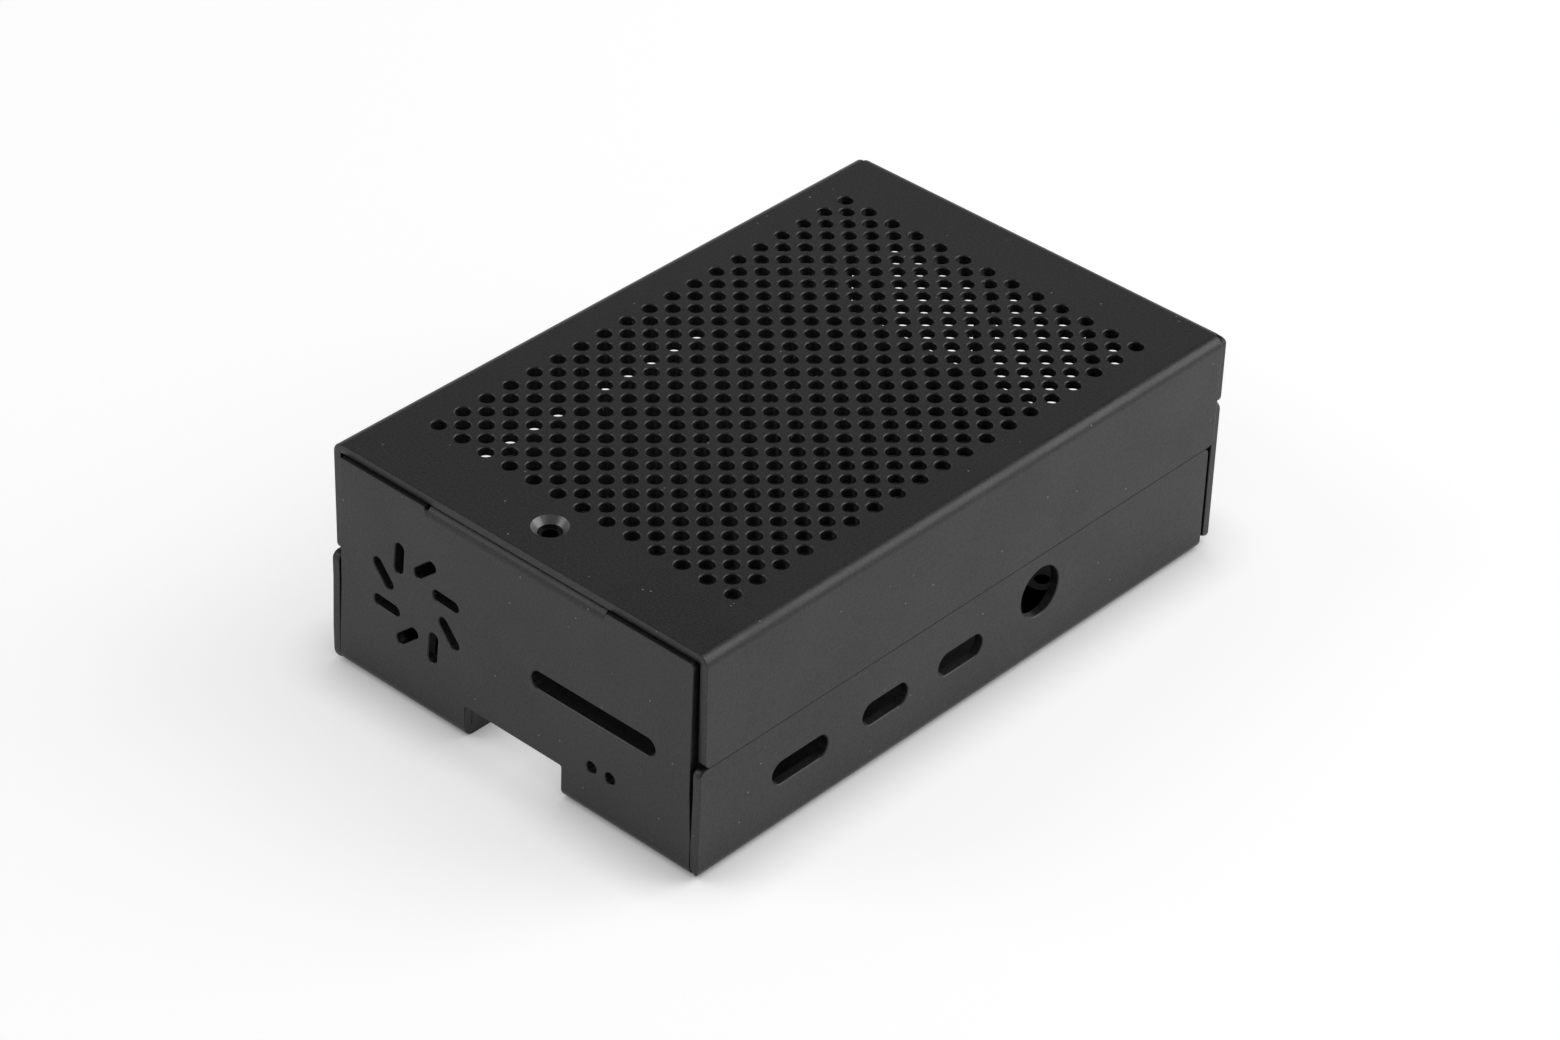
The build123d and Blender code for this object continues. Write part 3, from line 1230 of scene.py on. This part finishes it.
@dataclass(frozen=True)
class Studio:
    """The pale floor, the lamps, the white surroundings and the camera."""

    lamps: tuple[Softbox, ...] = (
        Softbox("key_lamp", (0.66, -0.54, 0.52), 1.0, 0.7, 4.6),
        Softbox("top_lamp", (0.35, -0.3, 0.9), 1.1, 0.8, 3.0),
        Softbox("card_side_lamp", (-0.58, 0.56, 0.58), 1.2, 0.6, 3.0),
    )
    lamp_target: tuple[float, float, float] = (0.0, 0.0, 0.015)
    floor_size: float = 4.0
    floor_cells: int = 4
    floor_drop: float = 0.00005
    floor_colour: tuple[float, float, float] = (0.5, 0.5, 0.5)
    floor_glow: float = 0.62
    shadow_reach: float = 0.008
    surroundings_light: float = 0.25
    ceiling_light: float = 0.19
    ceiling_span: tuple[float, float] = (0.1, 0.5)
    lens: float = 109.2456
    sensor: float = 36.0
    sight: tuple[float, float] = (0.01, 20.0)
    eye: tuple[float, float, float] = (-0.353758, -0.315282, 0.349093)
    right: tuple[float, float, float] = (0.67936808, -0.73334595, 0.02574373)
    down: tuple[float, float, float] = (-0.41117983, -0.40950385, -0.8143941)
    forward: tuple[float, float, float] = (0.60777477, 0.54268805, -0.5797409)

    def build_floor(self) -> None:
        """Lay the floor, which keeps the case's shadow and renders white around it.

        Its glow fades next to the case, where little light reaches a real surface.
        """
        bm = bmesh.new()
        cells = self.floor_cells
        bmesh.ops.create_grid(bm, x_segments=cells, y_segments=cells, size=self.floor_size)
        bmesh.ops.translate(bm, verts=bm.verts, vec=(0, 0, -self.floor_drop))
        mesh = bpy.data.meshes.new("floor")
        bm.to_mesh(mesh)
        bm.free()
        floor = bpy.data.objects.new("floor", mesh)
        bpy.context.scene.collection.objects.link(floor)
        graph = ShaderGraph.named("floor")
        graph.shader.inputs["Base Color"].default_value = (*self.floor_colour, 1)
        graph.shader.inputs["Roughness"].default_value = 1.0
        graph.shader.inputs["Specular IOR Level"].default_value = 0.0
        graph.shader.inputs["Emission Color"].default_value = (1, 1, 1, 1)
        glow = graph.worked_out("MULTIPLY", self.seen_rays(graph), self.floor_glow)
        openness = graph.add("ShaderNodeAmbientOcclusion", distance=self.shadow_reach)
        faded = graph.worked_out("MULTIPLY", glow, openness.outputs["AO"])
        graph.join(faded, graph.shader.inputs["Emission Strength"])
        mesh.materials.append(graph.owner)

    def seen_rays(self, graph: ShaderGraph) -> bpy.types.NodeSocket:
        """Mark the rays that show the surroundings: those of the camera, of gloss and of glass.

        Args:
            graph: The nodes to add to.

        Returns:
            A socket that is 1 on such rays and 0 on others.
        """
        path = graph.add("ShaderNodeLightPath")
        total = path.outputs["Is Camera Ray"]
        for kind in ("Is Glossy Ray", "Is Transmission Ray"):
            total = graph.worked_out("MAXIMUM", total, path.outputs[kind])
        return total

    def build_surroundings(self) -> None:
        """Make the surroundings white where they are seen, and dimmer as a light and overhead."""
        world = bpy.data.worlds.new("studio")
        bpy.context.scene.world = world
        world.use_nodes = True
        graph = ShaderGraph(world)
        place = graph.add("ShaderNodeTexCoord")
        parts = graph.add("ShaderNodeSeparateXYZ")
        graph.join(place.outputs["Generated"], parts.inputs["Vector"])
        fade = graph.mapped(parts.outputs["Z"], self.ceiling_span, (1.0, self.ceiling_light))
        camera_rays = graph.add("ShaderNodeLightPath").outputs["Is Camera Ray"]
        shown = graph.worked_out("MAXIMUM", fade, camera_rays)
        strength = graph.add("ShaderNodeMix")
        strength.inputs["A"].default_value = self.surroundings_light
        graph.join(self.seen_rays(graph), strength.inputs["Factor"])
        graph.join(shown, strength.inputs["B"])
        background = world.node_tree.nodes["Background"]
        background.inputs["Color"].default_value = (1, 1, 1, 1)
        graph.join(strength.outputs["Result"], background.inputs["Strength"])

    def build_camera(self) -> None:
        """Set the camera at the photograph's viewpoint, angle and focal length."""
        data = bpy.data.cameras.new("camera")
        data.lens, data.sensor_width, data.sensor_fit = self.lens, self.sensor, "HORIZONTAL"
        data.clip_start, data.clip_end = self.sight
        camera = bpy.data.objects.new("camera", data)
        bpy.context.scene.collection.objects.link(camera)
        axes = Matrix((self.right, -Vector(self.down), -Vector(self.forward))).transposed()
        camera.matrix_world = Matrix.Translation(self.eye) @ axes.to_4x4()
        bpy.context.scene.camera = camera

    def build(self) -> None:
        """Set up the whole studio."""
        self.build_camera()
        self.build_floor()
        self.build_surroundings()
        for lamp in self.lamps:
            lamp.build(Vector(self.lamp_target))
        bpy.context.scene.view_settings.view_transform = "Standard"


def report(piece: bpy.types.Object) -> None:
    """Log a piece's name and how many triangles it has.

    Args:
        piece: The piece.
    """
    piece.data.calc_loop_triangles()
    log.info("%s: %d triangles", piece.name, len(piece.data.loop_triangles))


def main() -> None:
    """Build the shells, dress every piece and set up the studio."""
    logging.basicConfig(level=logging.INFO, format="%(name)s: %(message)s")
    sizes = CaseSizes.from_frame()
    coating = TexturedCoating().material()
    worn = TexturedCoating(
        name="worn_coating",
        colour=(0.05, 0.05, 0.05),
        grain_colour=(0.08, 0.08, 0.08),
        specular=0.9,
        roughness=(0.3, 0.4),
    ).material()
    cover, tray = TopCover(sizes), BaseTray(sizes)
    cover_piece = cover.build("perforated_cover")
    cover.dress(cover_piece, coating, worn)
    report(cover_piece)
    tray_piece = tray.build("port_tray")
    tray.dress(tray_piece, coating)
    report(tray_piece)
    PlatedSteel().dress("board_standoffs", "cover_nut")
    Studio().build()


if __name__ == "__main__":
    main()
